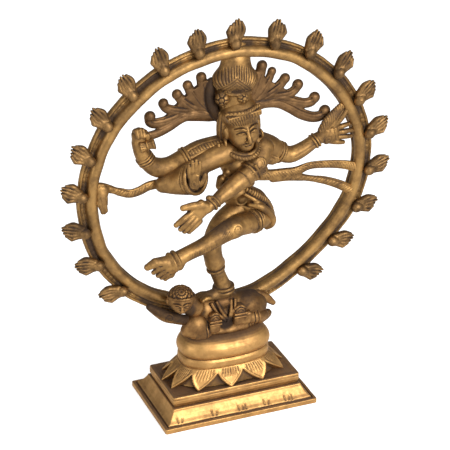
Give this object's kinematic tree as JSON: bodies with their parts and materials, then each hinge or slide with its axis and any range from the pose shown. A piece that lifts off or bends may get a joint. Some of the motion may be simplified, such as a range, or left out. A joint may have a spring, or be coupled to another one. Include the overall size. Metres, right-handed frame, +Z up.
{
  "type": "brass nataraja statue",
  "caption": "Cast brass dancing figure inside a flaming ring, standing on a dwarf and a lotus pedestal on a stepped plinth.",
  "frame": {"origin": "centre of the base's underside, on the surface it stands on", "axes": "+X to the viewer's right, +Y to the back (the figure faces -Y), +Z up"},
  "size_m": [0.1862, 0.0524, 0.2182],
  "materials": {
    "brass_figure": "cast and hand-filed, warm gold with brown recesses",
    "brass_ring": "filed smooth on the bead, darker in the recess",
    "brass_flames": "filed tongues with dark grooves",
    "brass_hair": "cast skin with brown patina",
    "brass_dwarf": "cast skin, polished high spots",
    "brass_base": "polished, light file marks",
    "steel_tie": "plain steel"
  },
  "bodies": {
    "root": {"lower_plinth": "brass_base", "upper_plinth": "brass_base", "lotus_skirt": "brass_base", "pedestal_drum": "brass_base", "pedestal_cushion": "brass_base", "tie_stud": "steel_tie", "tie_washer": "steel_tie", "tie_nut": "steel_tie", "ring": "brass_ring", "dwarf_body": "brass_dwarf", "dwarf_knees": "brass_dwarf", "dwarf_head": "brass_dwarf", "dwarf_arm": "brass_dwarf", "dwarf_foot": "brass_dwarf", "torso": "brass_figure", "hips": "brass_figure", "necklace": "brass_figure", "head": "brass_figure", "crown": "brass_figure", "rosette_left": "brass_figure", "rosette_right": "brass_figure", "hair_left": "brass_hair", "hair_right": "brass_hair", "rear_arm_left": "brass_figure", "drum_in_hand": "brass_figure", "rear_arm_right": "brass_figure", "hand_flame": "brass_figure", "abhaya_arm": "brass_figure", "gaja_arm": "brass_figure", "lifted_leg": "brass_figure", "standing_leg": "brass_figure", "sash_left": "brass_figure", "sash_right": "brass_figure", "flame_01": "brass_flames", "flame_02": "brass_flames", "flame_03": "brass_flames", "flame_04": "brass_flames", "flame_05": "brass_flames", "flame_06": "brass_flames", "flame_07": "brass_flames", "flame_08": "brass_flames", "flame_09": "brass_flames", "flame_10": "brass_flames", "flame_11": "brass_flames", "flame_12": "brass_flames", "flame_13": "brass_flames", "flame_14": "brass_flames", "flame_15": "brass_flames", "flame_16": "brass_flames", "flame_17": "brass_flames", "flame_18": "brass_flames", "flame_19": "brass_flames"}
  },
  "joints": []
}
